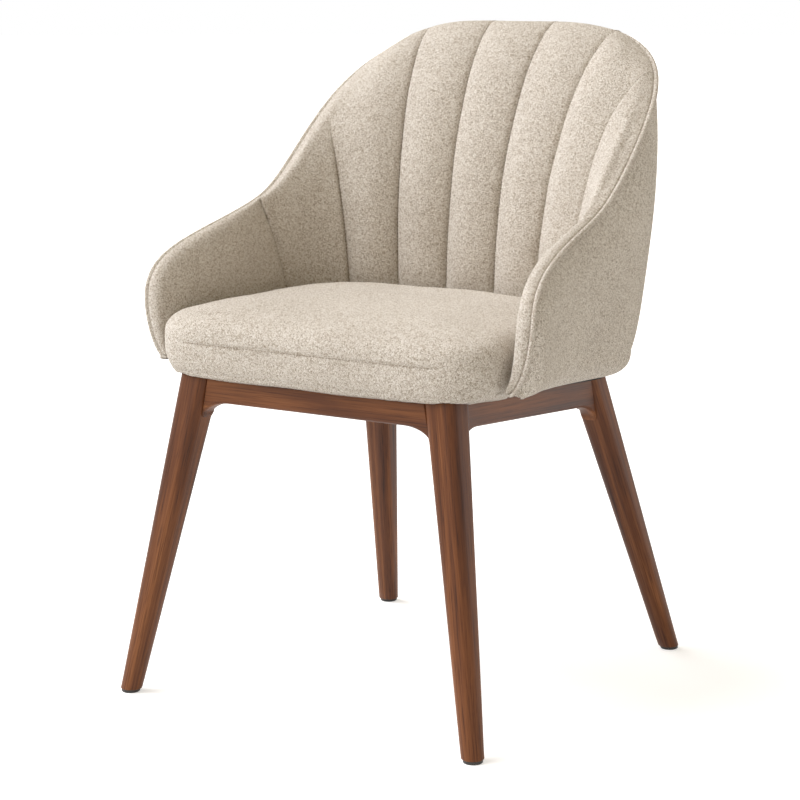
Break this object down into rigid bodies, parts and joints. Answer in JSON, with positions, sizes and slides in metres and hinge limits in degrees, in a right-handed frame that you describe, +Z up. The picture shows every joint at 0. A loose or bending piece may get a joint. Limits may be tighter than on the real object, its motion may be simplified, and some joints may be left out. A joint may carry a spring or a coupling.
{
  "type": "upholstered dining armchair",
  "caption": "Dining armchair with a channelled tub back, padded arms, piped rim, crowned seat cushion and splayed tapered wooden legs.",
  "frame": {"origin": "centre of the bounding box on the floor, under the feet", "axes": "+Z up, the chair's front faces -Y, +X is the right-hand side as seen from the front"},
  "size_m": [0.561, 0.5627, 0.815],
  "materials": {
    "walnut": "satin oiled walnut",
    "beech": "planed, unfinished",
    "plywood": "unfinished plywood",
    "zinc_steel": "bright zinc",
    "glide_plastic": "matte dark plastic",
    "dust_cloth": "matte nonwoven cloth",
    "boucle": "looped boucle cloth over foam"
  },
  "bodies": {
    "root": {"leg_front_right": "walnut", "leg_front_left": "walnut", "leg_rear_right": "walnut", "leg_rear_left": "walnut", "apron_front": "walnut", "apron_rear": "walnut", "apron_right": "walnut", "apron_left": "walnut", "block_front_right": "beech", "block_front_left": "beech", "block_rear_right": "beech", "block_rear_left": "beech", "apron_dowels": "beech", "block_screws": "zinc_steel", "leg_bolts": "zinc_steel", "leg_bolt_washers": "zinc_steel", "leg_bolt_nuts": "zinc_steel", "glide_pads": "glide_plastic", "glide_nails": "zinc_steel", "dust_cover": "dust_cloth", "shell_core": "plywood", "front_spacer": "plywood", "seat_board": "plywood", "seat_bolts": "zinc_steel", "seat_washers": "zinc_steel", "t_nuts": "zinc_steel", "seat_cushion": "boucle", "back_pad": "boucle", "arm_pad_right": "boucle", "arm_pad_left": "boucle", "outer_cover": "boucle", "rim_piping": "boucle"}
  },
  "joints": []
}
